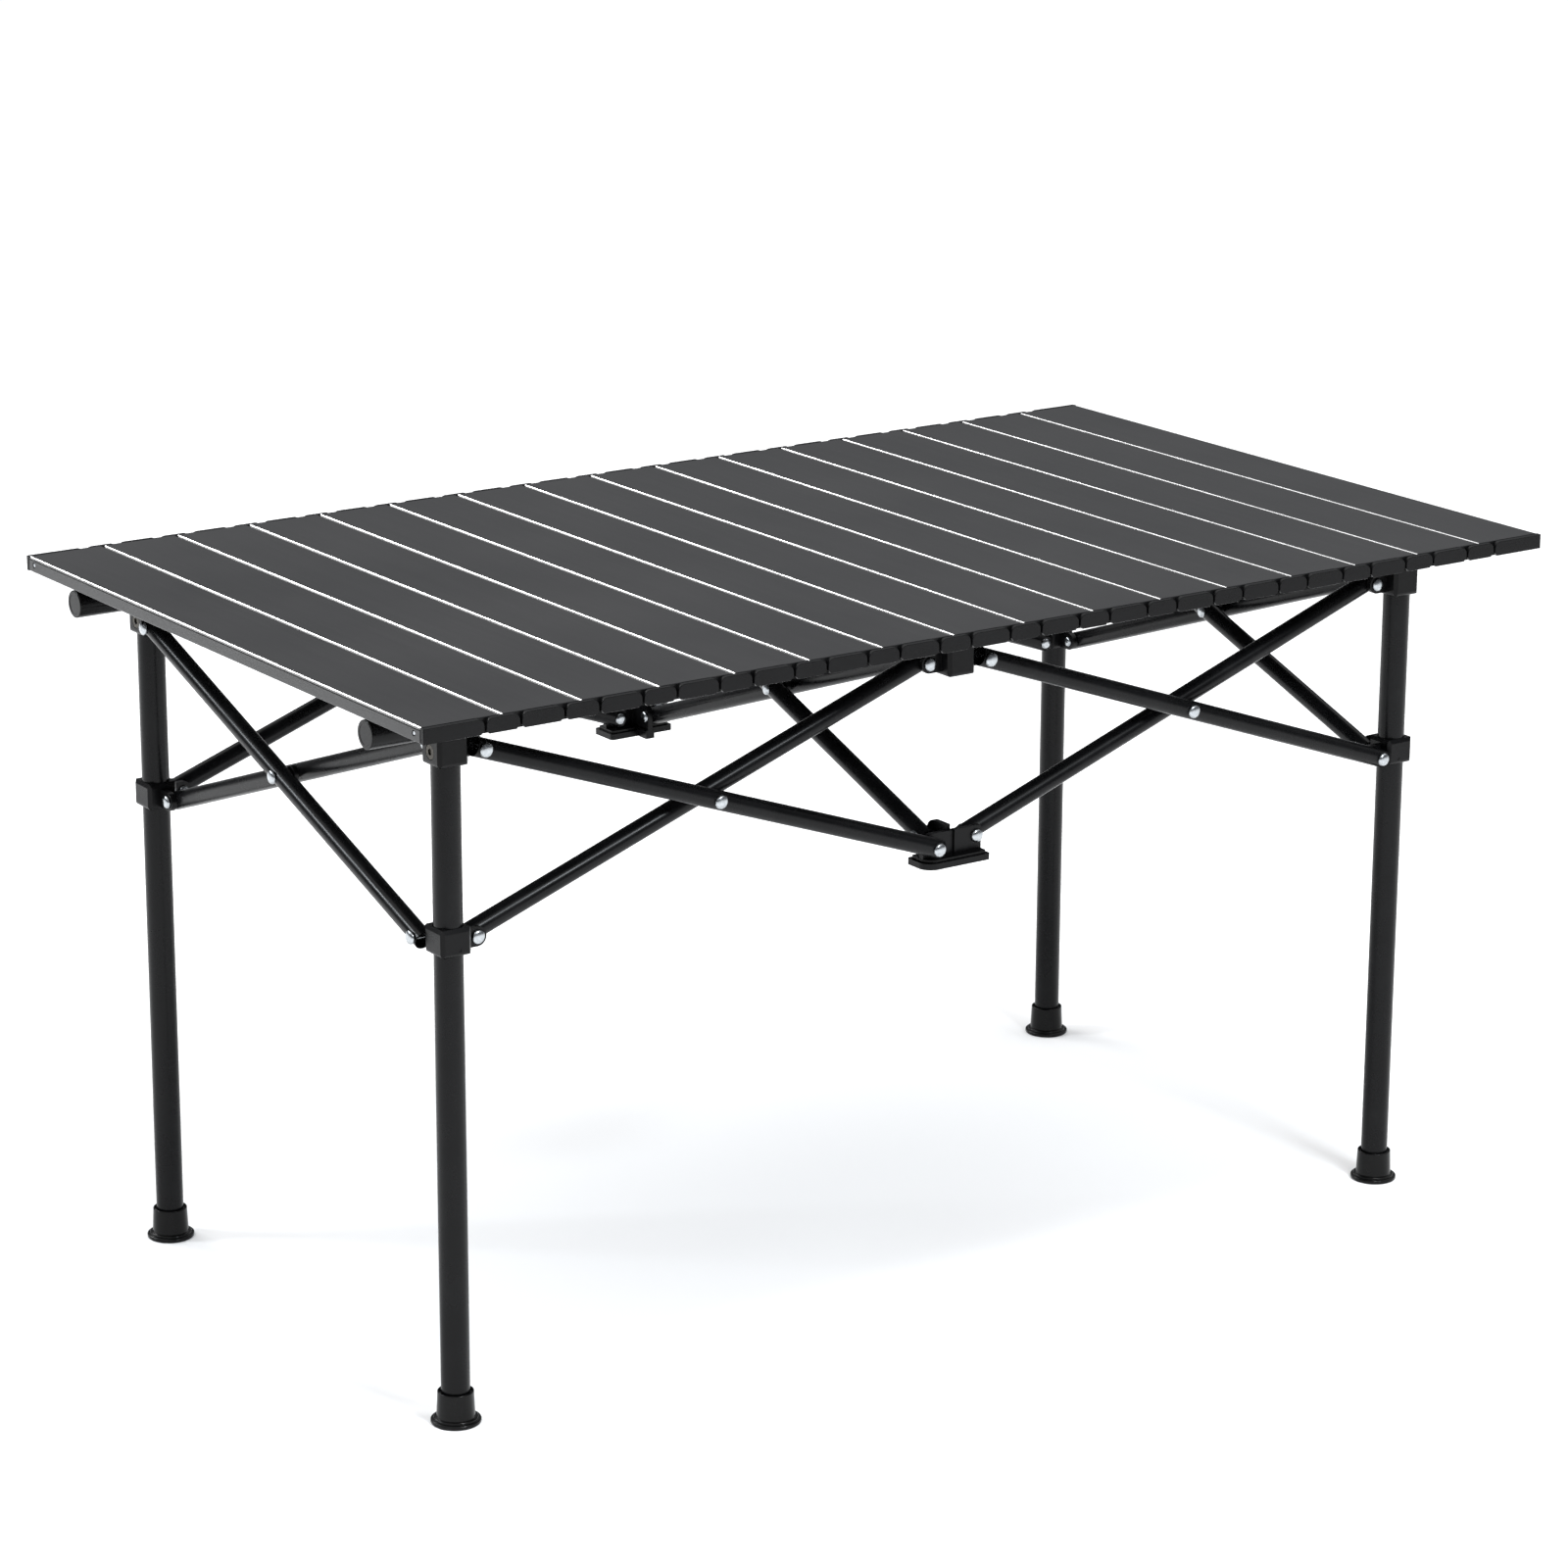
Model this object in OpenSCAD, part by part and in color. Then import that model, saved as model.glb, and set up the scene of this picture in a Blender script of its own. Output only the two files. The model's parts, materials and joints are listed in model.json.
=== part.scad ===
// Folding picnic table: a roll-up slatted top lies on two rails, and an accordion frame of
// seven crossed bar pairs carries the rails and four legs.
// Millimetres, +Z up. The origin is on the floor under the middle of the top, +X runs along
// the length of the table to the right and +Y runs to the back.

/* [Top] */
// Number of slats side by side
slat_count = 16; // [8:1:16]
// Distance from one slat to the next
slat_pitch = 73; // [66:1:80]
// Open seam between two slats
seam_gap = 1.6; // [1.5:0.1:2]
// Thickness of a slat
slat_height = 13; // [12:0.5:16]
// Wall of the hollow slat extrusion
slat_wall = 1.2; // [1:0.1:1.5]
// Depth of the top from front to back, end pieces included
top_depth = 684; // [640:1:720]
// How far the end pieces stand out past the slats
end_depth = 6; // [5.5:0.5:8]
// Width of the end cap in the middle of each slat
cap_width = 38.7; // [34:0.1:40]
// Width of the link across each seam
link_width = 30.5; // [26:0.1:31]

/* [Frame] */
// Height of the tabletop above the floor
table_height = 627; // [600:1:700]
// How far the frame stands to the right of the middle of the top
frame_shift = -8; // [-20:1:20]
// Length of a bar from pivot to pivot
bar_length = 478; // [440:1:500]
// Slope of the bars when the frame is open, in degrees
open_angle = 19.6; // [18:0.1:22]
// Diameter of a scissor bar
bar_diameter = 16.8; // [14:0.4:16.8]
// Diameter of a leg and of a rail
leg_diameter = 24.4; // [20:0.4:24.4]
// Wall of the legs, rails and bars
tube_wall = 1.2; // [1:0.1:1.5]
// Distance of a pivot from the axis of its leg or block
pivot_reach = 26; // [25.8:0.1:27]
// Distance of the upper pivots below the tabletop
pivot_depth = 49; // [48:0.5:52]
// Width of the square sleeves and blocks
sleeve_width = 28.6; // [28.2:0.2:28.8]
// Diameter of the flange under a foot
foot_diameter = 42.4; // [36:0.4:44]

/* [Hidden] */
$fn = 48;
loose = 0.3;                    // air between pieces that move past each other
run = 0.05;                     // radial clearance of a pin in its hole
bar_r = bar_diameter / 2;
leg_r = leg_diameter / 2;

// Top
slat_half = (slat_pitch - seam_gap) / 2;
slat_length = top_depth - 2 * end_depth;
top_length = slat_count * slat_pitch - seam_gap;
slat_floor = table_height - slat_height;
edge_chamfer = 1.5;             // along both upper edges of a slat
foot_chamfer = 1;               // along both lower edges of a slat
side_wall = 1.6;
lip_depth = 0.6;                // fine groove along each side, a little below the upper chamfer
lip_height = 0.9;
lip_land = 0.4;
rib_x = 14;                     // the two inner ribs of a slat stand at plus and minus this
flange_depth = 1.8;             // plate of an end cap that closes the slat's end
link_gap = flange_depth + loose;
tongue_depth = 12;
tongue_height = 8;
link_corner = 6;                // rounding of the upper corners of links and caps
link_chamfer = 3;               // chamfer of their lower corners
seam_pin_r = 1.2;
seam_ear_r = 2.5;
seam_pin_depth = 2.6;           // seam pin's axis below the tabletop
seam_z = slat_height - seam_pin_depth;
side_rivet_inset = 15;          // from the end of the top to the rivet in the outermost side faces
side_rivet_r = 1.5;

// Frame
rail_z = slat_floor - loose - leg_r;
rail_half = top_length / 2 - 3;
plug_face = 3;
plug_depth = 14;
bay = bar_length * cos(open_angle) + 2 * pivot_reach;
pivot_drop = bar_length * sin(open_angle);
upper_z = table_height - pivot_depth;
lower_z = upper_z - pivot_drop;
middle_z = (upper_z + lower_z) / 2;
tab = 5;                        // thickness of the tabs that the bars are riveted to
bar_offset = tab / 2 + loose + bar_r;
bar_end = 7;                    // bar past its end pivots
rivet_r = 3;
head_r = 6;
head_h = 3.4;
tail_r = 5;
tail_h = 2.4;
washer_r = 7;
sleeve_corner = 3;
sleeve_round = 4;               // rounding of the lower corners of sleeves and blocks
sleeve_low = 12;                // sleeve or block below its pivots
slider_low = 10;
slider_high = 14;
slider_bevel = 1.5;
bevel_slope = 2.4;              // height of a bevel over its depth
dimple_r = 1.5;
dimple_x = 2.5;
dimple_up = 5.5;                // dimple above the bottom of the slider
leg_top_z = rail_z - leg_r - 4;
foot_height = 28;
foot_floor = 5;
socket_fit = 0.05;
screw_head_r = 6;
screw_r = 3.2;
hex_r = 3;
screw_seat = leg_r + 0.8;       // distance of the screw's seat from the leg's axis
hub_half = 34;
hub_side = 31;                  // outer end of the hub's cheeks and ear
hub_front = 13;
hub_back = 17;
hub_plate = 8;
hub_plate_top = 12.3;           // top of the hub's plate below its pivots
hub_step = 2.5;
hub_groove = 5;                 // between the two cheeks
hub_cheek_top = 9;
hub_ear_top = 12.5;
hub_round = 10;

// Where the legs and the two middle columns stand
left_x = frame_shift - bay;
right_x = frame_shift + bay;
half_y = bay / 2;
LEGS = [["front_left", left_x, -half_y, 1, 1], ["front_right", right_x, -half_y, -1, 1],
        ["back_left", left_x, half_y, 1, -1], ["back_right", right_x, half_y, -1, -1]];
// The bays of the frame: name, middle, and the turn that puts their outer bar outside
BAYS = [["front_left", [frame_shift - bay / 2, -half_y], 0],
        ["front_right", [frame_shift + bay / 2, -half_y], 0],
        ["back_left", [frame_shift - bay / 2, half_y], 180],
        ["back_right", [frame_shift + bay / 2, half_y], 180],
        ["left_side", [left_x, 0], -90],
        ["right_side", [right_x, 0], 90],
        ["middle", [frame_shift, 0], 90]];
COLUMNS = [["front", -half_y, 1], ["back", half_y, -1]];
SLATS = [for (i = [1 : slat_count]) str("slat_", i < 10 ? "0" : "", i)];

// ---------- shared shapes ----------

// Extrudes a drawing of X and Z towards +Y, from y = 0
module along_y(depth) {
    translate([0, depth, 0]) rotate([90, 0, 0]) linear_extrude(depth) children();
}

// Cylinder along Y from y = a to y = b
module pin_y(r, a, b) {
    translate([0, a, 0]) rotate([-90, 0, 0]) cylinder(r = r, h = b - a);
}

// Cylinder along X from x = a to x = b
module pin_x(r, a, b) {
    translate([a, 0, 0]) rotate([0, 90, 0]) cylinder(r = r, h = b - a);
}

// Square of a given width with chamfered corners
module chamfered_square(width, chamfer) {
    h = width / 2;
    c = h - chamfer;
    polygon([[h, -c], [h, c], [c, h], [-c, h], [-h, c], [-h, -c], [-c, -h], [c, -h]]);
}

// What a rounded corner leaves of its square
module corner_waste(r) {
    difference() {
        square(r + 1);
        circle(r);
    }
}

// Side view of a block from z0 to z1 with bevelled upper and rounded lower corners
module block_side(z0, z1, bevel) {
    h = sleeve_width / 2;
    r = sleeve_round;
    z2 = z1 - bevel * bevel_slope;
    difference() {
        polygon([[-h, z0], [h, z0], [h, z2], [h - bevel, z1], [-h + bevel, z1], [-h, z2]]);
        translate([h - r, z0 + r]) rotate(-90) corner_waste(r);
        translate([-h + r, z0 + r]) rotate(180) corner_waste(r);
    }
}

// Square block with chamfered upright edges
module block(z0, z1, bevel) {
    w = sleeve_width;
    intersection() {
        translate([0, 0, z0]) linear_extrude(z1 - z0) chamfered_square(w, sleeve_corner);
        translate([0, -w / 2, 0]) along_y(w) block_side(z0, z1, bevel);
        rotate([0, 0, 90]) translate([0, -w / 2, 0]) along_y(w) block_side(z0, z1, bevel);
    }
}

// Domed rivet head of radius r standing on z = 0
module dome(r, h) {
    ball = (r * r + h * h) / (2 * h);
    intersection() {
        translate([0, 0, h - ball]) sphere(ball);
        cylinder(r = r, h = h);
    }
}

// Rivet along Y with its large head before y = a and its small head after y = b
module rivet(a, b) {
    color("gainsboro") {
        pin_y(rivet_r, a - 0.5, b + 0.5);
        translate([0, a, 0]) rotate([90, 0, 0]) dome(head_r, head_h);
        translate([0, b, 0]) rotate([-90, 0, 0]) dome(tail_r, tail_h);
    }
}

// ---------- top ----------

module slat_outline() {
    a = slat_half;
    h = slat_height;
    polygon([[-a + foot_chamfer, 0], [a - foot_chamfer, 0], [a, foot_chamfer], [a, h - edge_chamfer],
             [a - edge_chamfer, h], [-a + edge_chamfer, h], [-a, h - edge_chamfer], [-a, foot_chamfer]]);
}

// Hollow aluminium extrusion with two inner ribs and a fine groove along each side
module slat_section() {
    inner = slat_half - side_wall;
    rib = slat_wall / 2;
    room = slat_height - 2 * slat_wall;
    difference() {
        slat_outline();
        translate([-inner, slat_wall]) square([inner - rib_x - rib, room]);
        translate([-rib_x + rib, slat_wall]) square([2 * (rib_x - rib), room]);
        translate([rib_x + rib, slat_wall]) square([inner - rib_x - rib, room]);
        for (x = [-slat_half, slat_half])
            translate([x - lip_depth, slat_height - edge_chamfer - lip_land - lip_height])
                square([2 * lip_depth, lip_height]);
    }
}

// Front view of a cap or link from x0 to x1: rounded above and chamfered below,
// with square corners at an end whose flag is 0
module end_plate(x0, x1, soft0, soft1) {
    r0 = soft0 * link_corner;
    r1 = soft1 * link_corner;
    c0 = soft0 * link_chamfer;
    c1 = soft1 * link_chamfer;
    h = slat_height;
    difference() {
        polygon([[x0 + c0, 0], [x1 - c1, 0], [x1, c1], [x1, h], [x0, h], [x0, c0]]);
        if (soft0 == 1) translate([x0 + r0, h - r0]) rotate(90) corner_waste(r0);
        if (soft1 == 1) translate([x1 - r1, h - r1]) corner_waste(r1);
    }
}

// Seam position seen from the middle of a slat, side = -1 for the left seam and 1 for the right
function seam_x(side) = side * slat_pitch / 2;

// Tongue of an end piece inside the slat, seen from the end
module tongue(x, width) {
    h = tongue_height;
    translate([x - width / 2, -tongue_depth, (slat_height - h) / 2])
        cube([width, tongue_depth + link_gap + 1, h]);
}

link_tongue_x = seam_x(1) - 11;
link_tongue_width = 9;

// End cap: a thin flange over the slat's end, a thick middle and a tongue in the slat.
// An ear at the left seam turns on the neighbour's link pin.
module end_cap(first, last) {
    x0 = first ? -slat_half : -cap_width / 2;
    x1 = last ? slat_half : cap_width / 2;
    color([0.14, 0.14, 0.15]) difference() {
        union() {
            along_y(flange_depth) slat_outline();
            along_y(end_depth) end_plate(x0, x1, first ? 0 : 1, last ? 0 : 1);
            tongue(0, 20);
            if (first) tongue(-slat_half + side_wall + 8, 14);
            if (last) tongue(slat_half - side_wall - 8, 14);
            if (!first) seam_ear();
        }
        if (!first) translate([seam_x(-1), 0, seam_z]) pin_y(seam_pin_r + run, -1, flange_depth + 1);
        if (!last) {
            translate([seam_x(1), 0, seam_z]) pin_y(seam_ear_r + 0.4, -1, flange_depth + 1);
            link_slot();
        }
        if (first) side_rivet_hole(-1);
        if (last) side_rivet_hole(1);
    }
}

// Ear on the left seam, round the pin of the neighbour's link
module seam_ear() {
    translate([seam_x(-1), 0, seam_z]) pin_y(seam_ear_r, loose, flange_depth);
    translate([seam_x(-1), loose, seam_z - 1.5]) cube([4, flange_depth - loose, 3]);
}

// Slot in the flange for the link's tongue
module link_slot() {
    w = link_tongue_width + 0.4;
    h = tongue_height + 0.4;
    translate([link_tongue_x - w / 2, -1, (slat_height - h) / 2]) cube([w, flange_depth + 2, h]);
}

// Link over the right seam: its tongue sits in this slat and its pin carries the next one
module link() {
    x = seam_x(1);
    h = tongue_height;
    color([0.14, 0.14, 0.15]) {
        translate([0, link_gap, 0]) along_y(end_depth - link_gap)
            end_plate(x - link_width / 2, x + link_width / 2, 1, 1);
        translate([link_tongue_x - link_tongue_width / 2, -tongue_depth, (slat_height - h) / 2])
            cube([link_tongue_width, tongue_depth + link_gap + 1, h]);
        translate([x, 0, seam_z]) pin_y(seam_pin_r, loose, link_gap + 1);
    }
}

// Hole for a side rivet in the slat's outermost wall and the tongue behind it
module side_rivet_hole(side) {
    translate([side * (slat_half + 1), -side_rivet_inset + end_depth, slat_height / 2])
        rotate([0, -90 * side, 0]) cylinder(r = side_rivet_r + run, h = 12);
}

// One slat with its two end caps and the two links on its right seam
module slat(i) {
    first = i == 1;
    last = i == slat_count;
    translate([(i - (slat_count + 1) / 2) * slat_pitch, 0, slat_floor]) {
        color([0.27, 0.27, 0.28]) difference() {
            translate([0, -slat_length / 2, 0]) along_y(slat_length) slat_section();
            if (first) side_holes(-1);
            if (last) side_holes(1);
        }
        for (turn = [0, 1]) mirror([0, turn, 0]) translate([0, slat_length / 2, 0]) {
            end_cap(first, last);
            if (!last) link();
        }
    }
}

// Open holes round the two side rivets of an outermost slat
module side_holes(side) {
    for (y = [-1, 1])
        translate([side * (slat_half + 1), y * (slat_length / 2 - side_rivet_inset + end_depth), slat_height / 2])
            rotate([0, -90 * side, 0]) cylinder(r = side_rivet_r + 1, h = 4);
}

// Rivets that hold the end caps of an outermost slat
module edge_rivets(side) {
    x = side * (top_length / 2 - 0.4);
    for (y = [-1, 1])
        translate([x, y * (slat_length / 2 - side_rivet_inset + end_depth), slat_floor + slat_height / 2])
            rotate([0, -90 * side, 0]) color("gainsboro") cylinder(r = side_rivet_r, h = 9);
}

// ---------- rails ----------

module rail(y) {
    translate([0, y, rail_z]) color([0.13, 0.13, 0.14]) difference() {
        pin_x(leg_r, -rail_half, rail_half);
        pin_x(leg_r - tube_wall, -rail_half - 1, rail_half + 1);
    }
}

// Plastic plugs in both ends of a rail
module rail_plugs(y) {
    inner = leg_r - tube_wall - socket_fit;
    for (side = [0, 1]) translate([0, y, rail_z]) mirror([side, 0, 0])
        color([0.1, 0.1, 0.1]) translate([rail_half, 0, 0]) rotate([0, 90, 0]) rotate_extrude()
            polygon([[0, -plug_depth], [inner, -plug_depth], [inner, 0], [leg_r, 0],
                     [leg_r, plug_face - 1], [leg_r - 1, plug_face], [0, plug_face]]);
}

// ---------- legs ----------

module leg(l) {
    translate([l[1], l[2], 0]) mirror([l[3] < 0 ? 1 : 0, 0, 0]) color([0.13, 0.13, 0.14]) difference() {
        translate([0, 0, foot_floor + loose]) cylinder(r = leg_r, h = leg_top_z - foot_floor - loose);
        translate([0, 0, foot_floor]) cylinder(r = leg_r - tube_wall, h = leg_top_z);
        translate([0, 0, upper_z]) pin_x(screw_r + run, -leg_r - 1, 0);
    }
}

// Flanged foot with a stepped base and a collar that stands off the leg at its mouth
module foot(l) {
    flange = foot_diameter / 2;
    collar = leg_r + 2.6;
    top = foot_height;
    color([0.1, 0.1, 0.1]) translate([l[1], l[2], 0]) rotate_extrude()
        polygon([[0, 0], [flange - 1, 0], [flange, 1], [flange, 2.6], [flange - 0.8, 3.4],
                 [flange - 2.6, 3.8], [flange - 3.6, 5.2], [leg_r + 4.2, 6], [leg_r + 3.8, 7],
                 [collar + 0.5, top - 0.5], [collar, top], [collar - 0.5, top], [collar - 0.5, top - 1.5],
                 [leg_r + socket_fit, top - 1.5], [leg_r + socket_fit, foot_floor], [0, foot_floor]]);
}

// Tab for one bar: it reaches from the sleeve's axis along +X and ends round the pivot
module tab_x(z) {
    translate([0, -tab / 2, z]) along_y(tab) difference() {
        union() {
            translate([0, -bar_r]) square([pivot_reach, 2 * bar_r]);
            translate([pivot_reach, 0]) circle(bar_r);
        }
        translate([pivot_reach, 0]) circle(rivet_r + run);
    }
}

// The two tabs of a corner piece, along +X and +Y
module corner_tabs(z) {
    tab_x(z);
    rotate([0, 0, 90]) tab_x(z);
}

// Trough that holds a rail, open above
module rail_trough() {
    translate([0, 0, rail_z]) pin_x(leg_r + loose, -sleeve_width, sleeve_width);
    translate([-sleeve_width, -leg_r - loose, rail_z]) cube([2 * sleeve_width, 2 * (leg_r + loose), leg_r]);
}

// Connector on top of a leg, with a trough for the rail
module leg_top(l) {
    translate([l[1], l[2], 0]) mirror([l[3] < 0 ? 1 : 0, 0, 0]) mirror([0, l[4] < 0 ? 1 : 0, 0])
        color([0.15, 0.15, 0.16]) difference() {
            union() {
                block(upper_z - sleeve_low, rail_z, 0);
                corner_tabs(upper_z);
            }
            translate([0, 0, upper_z - sleeve_low - 1])
                cylinder(r = leg_r + socket_fit, h = leg_top_z + socket_fit - upper_z + sleeve_low + 1);
            rail_trough();
            translate([0, 0, upper_z]) {
                pin_x(screw_r + run, -sleeve_width, 0);
                pin_x(screw_head_r + 0.5, -sleeve_width, -screw_seat);
            }
        }
}

// Socket screw through a leg top into its leg
module leg_screw(l) {
    outer = -sleeve_width / 2 + 0.1;
    translate([l[1], l[2], upper_z]) mirror([l[3] < 0 ? 1 : 0, 0, 0]) color([0.3, 0.27, 0.22]) difference() {
        union() {
            pin_x(screw_head_r, outer, -screw_seat);
            pin_x(screw_r, -screw_seat - 0.5, -leg_r + 5);
        }
        translate([outer - 1, 0, 0]) rotate([0, 90, 0]) cylinder(r = hex_r, h = 2.2, $fn = 6);
    }
}

// Sleeve that slides on a leg
module slider(l) {
    translate([l[1], l[2], 0]) mirror([l[3] < 0 ? 1 : 0, 0, 0]) mirror([0, l[4] < 0 ? 1 : 0, 0])
        color([0.15, 0.15, 0.16]) difference() {
            union() {
                block(lower_z - slider_low, lower_z + slider_high, slider_bevel);
                corner_tabs(lower_z);
            }
            translate([0, 0, lower_z - slider_low - 1])
                cylinder(r = leg_r + loose, h = slider_low + slider_high + 2);
            translate([dimple_x, 0, lower_z - slider_low + dimple_up])
                pin_y(dimple_r, -sleeve_width, 0.5 - sleeve_width / 2);
        }
}

// ---------- middle columns ----------

// Block in the middle of the front or back, with a trough for the rail and three tabs
module center_block(c) {
    translate([frame_shift, c[1], 0]) mirror([0, c[2] < 0 ? 1 : 0, 0])
        color([0.15, 0.15, 0.16]) difference() {
            union() {
                block(upper_z - sleeve_low, rail_z, 0);
                corner_tabs(upper_z);
                mirror([1, 0, 0]) tab_x(upper_z);
            }
            rail_trough();
        }
}

// Upright of the hub on its +X side from x0 outwards, with its outer top corner rounded
module hub_upright(x0, top, round_r) {
    low = hub_plate_top + 1;
    x1 = hub_side;
    translate([0, -tab / 2, 0]) along_y(tab) difference() {
        translate([x0, -low]) square([x1 - x0, low + top]);
        translate([pivot_reach, 0]) circle(rivet_r + run);
        translate([x1 - round_r, top - round_r]) corner_waste(round_r);
    }
}

// Plan of the hub's plate, with a large round at its front left corner
module hub_plan(inset) {
    x = hub_half - inset;
    y0 = -hub_front + inset;
    y1 = hub_back - inset;
    big = hub_round + 2;
    small = 3;
    difference() {
        translate([-x, y0]) square([2 * x, y1 - y0]);
        translate([-x + big, y0 + big]) rotate(180) corner_waste(big);
        translate([x - small, y0 + small]) rotate(-90) corner_waste(small);
        translate([x - small, y1 - small]) corner_waste(small);
        translate([-x + small, y1 - small]) rotate(90) corner_waste(small);
    }
}

// Lower hub: a stepped plate with two cheeks beside a groove, an ear behind and a web between them
module hub(c) {
    base = -hub_plate_top - hub_plate;
    ear = tab + 4;
    cheek_x = hub_groove / 2;
    translate([frame_shift, c[1], lower_z]) rotate(c[2] < 0 ? 180 : 0) color([0.13, 0.13, 0.14]) {
        translate([0, 0, base]) linear_extrude(hub_plate - hub_step) hub_plan(0);
        translate([0, 0, base]) linear_extrude(hub_plate) hub_plan(hub_step);
        translate([-ear / 2, 0, base]) cube([ear, hub_side, hub_plate]);
        translate([-cheek_x - 1, -0.5, base + 1])
            cube([2 * cheek_x + 2, cheek_x + 3, hub_cheek_top - base - 2]);
        hub_upright(cheek_x, hub_cheek_top, 1.5);
        mirror([1, 0, 0]) hub_upright(cheek_x, hub_cheek_top, hub_round);
        rotate([0, 0, 90]) hub_upright(cheek_x + 1.5, hub_ear_top, hub_round);
    }
}

// ---------- scissor bars ----------

// Tube with rivet holes at both ends and in the middle
module bar_tube(y) {
    half = bar_length / 2;
    color([0.13, 0.13, 0.14]) difference() {
        translate([0, y, 0]) pin_x(bar_r, -half - bar_end, half + bar_end);
        translate([0, y, 0]) pin_x(bar_r - tube_wall, -half - bar_end - 1, half + bar_end + 1);
        for (x = [-half, 0, half])
            translate([x, 0, 0]) pin_y(rivet_r + run, y - bar_r - 1, y + bar_r + 1);
    }
}

// Puts a bar in its bay, sloping by the given angle
module in_bay(b, slope) {
    translate([b[1][0], b[1][1], middle_z]) rotate([0, 0, b[2]]) rotate([0, slope, 0]) children();
}

// Outer bar, falling to the right as seen from outside, with its end rivets,
// the rivet of the crossing and the washer between the two bars
module outer_bar(b) {
    far = bar_offset + bar_r;
    near = tab / 2 + loose;
    in_bay(b, open_angle) {
        bar_tube(-bar_offset);
        for (x = [-1, 1]) translate([x * bar_length / 2, 0, 0]) rivet(-far, near);
        rivet(-far, far);
        color("black") difference() {
            pin_y(washer_r, -tab / 2, tab / 2);
            pin_y(rivet_r + run, -tab, tab);
        }
    }
}

// Inner bar, rising to the right as seen from outside, with its end rivets
module inner_bar(b) {
    far = bar_offset + bar_r;
    near = tab / 2 + loose;
    in_bay(b, -open_angle) {
        bar_tube(bar_offset);
        for (x = [-1, 1]) translate([x * bar_length / 2, 0, 0]) rivet(-near, far);
    }
}

// ---------- the nodes ----------

for (i = [1 : slat_count]) slat(i);
edge_rivets(-1);  // left_edge_rivets
edge_rivets(1);  // right_edge_rivets
for (c = COLUMNS) {
    rail(c[1]);
    rail_plugs(c[1]);
    center_block(c);
    hub(c);
}
for (l = LEGS) {
    leg(l);
    foot(l);
    leg_top(l);
    leg_screw(l);
    slider(l);
}
for (b = BAYS) {
    outer_bar(b);
    inner_bar(b);
}
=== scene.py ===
import json
import math
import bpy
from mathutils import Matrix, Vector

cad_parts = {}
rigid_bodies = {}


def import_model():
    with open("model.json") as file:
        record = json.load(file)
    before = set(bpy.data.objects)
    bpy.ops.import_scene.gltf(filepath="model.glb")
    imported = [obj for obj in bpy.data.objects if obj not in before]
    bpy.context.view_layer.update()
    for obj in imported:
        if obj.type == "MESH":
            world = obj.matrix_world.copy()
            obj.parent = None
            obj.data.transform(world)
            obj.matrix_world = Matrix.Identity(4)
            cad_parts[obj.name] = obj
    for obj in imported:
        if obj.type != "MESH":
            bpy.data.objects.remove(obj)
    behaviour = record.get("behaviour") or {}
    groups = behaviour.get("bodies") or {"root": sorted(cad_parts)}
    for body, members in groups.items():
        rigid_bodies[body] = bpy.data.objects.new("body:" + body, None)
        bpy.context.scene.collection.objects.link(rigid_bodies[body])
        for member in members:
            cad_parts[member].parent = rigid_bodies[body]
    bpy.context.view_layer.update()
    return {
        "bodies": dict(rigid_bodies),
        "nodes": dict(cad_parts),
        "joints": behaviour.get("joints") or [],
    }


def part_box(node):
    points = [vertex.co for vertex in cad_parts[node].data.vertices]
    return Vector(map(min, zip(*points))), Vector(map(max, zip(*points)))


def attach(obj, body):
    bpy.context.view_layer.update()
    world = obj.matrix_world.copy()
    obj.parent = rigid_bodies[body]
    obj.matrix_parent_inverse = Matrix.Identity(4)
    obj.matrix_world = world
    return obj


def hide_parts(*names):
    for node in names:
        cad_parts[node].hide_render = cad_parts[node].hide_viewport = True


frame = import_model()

from types import SimpleNamespace

import bmesh
import bpy
from mathutils import Matrix, Vector

MM = 0.001
SHARP = math.radians(38)        # edges steeper than this stay crisp

# Sizes that the frame's boxes don't give, in metres
AIR = 0.3 * MM                  # between pieces that move past each other
FIT = 0.05 * MM                 # between pieces that fit into each other

SEAM_GAP = 1.6 * MM
CHAMFER = 1.5 * MM              # upper edges of a slat
PAINTED_HIGHLIGHT_STRIP = 0.55 * MM                # top strip of that chamfer, given bright metal as a painted highlight
LIP = 0.6 * MM                  # groove under that chamfer
FLANGE = 1.8 * MM               # thin plate of an end cap
END_DEPTH = 6 * MM              # end pieces beyond the slat
CAP_WIDTH = 38.7 * MM
LINK_WIDTH = 30.5 * MM
CORNER = 6 * MM                 # upper corners of caps and links
LOWER_CHAMFER = 3 * MM
SOFT_EDGE = 0.7 * MM            # rounding of the front edges of caps and links
NECK_OFFSET = 11 * MM           # from a seam to the middle of its link's neck
NECK_HALF = 4 * MM
NECK_INSET = 3 * MM             # from the top and bottom of a slat to that neck
PIN_DEPTH = 2.6 * MM            # seam pivot below the tabletop
PIN_RADIUS = 1.2 * MM
EAR_RADIUS = 2.5 * MM
EAR_ROOM = 0.4 * MM             # air round the ear
SIDE_HOLE_RADIUS = 2.5 * MM     # round each rivet in the two outermost side faces
SIDE_HOLE_DEPTH = 3 * MM
SIDE_HOLE_INSET = 15 * MM       # from the end of the top

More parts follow.
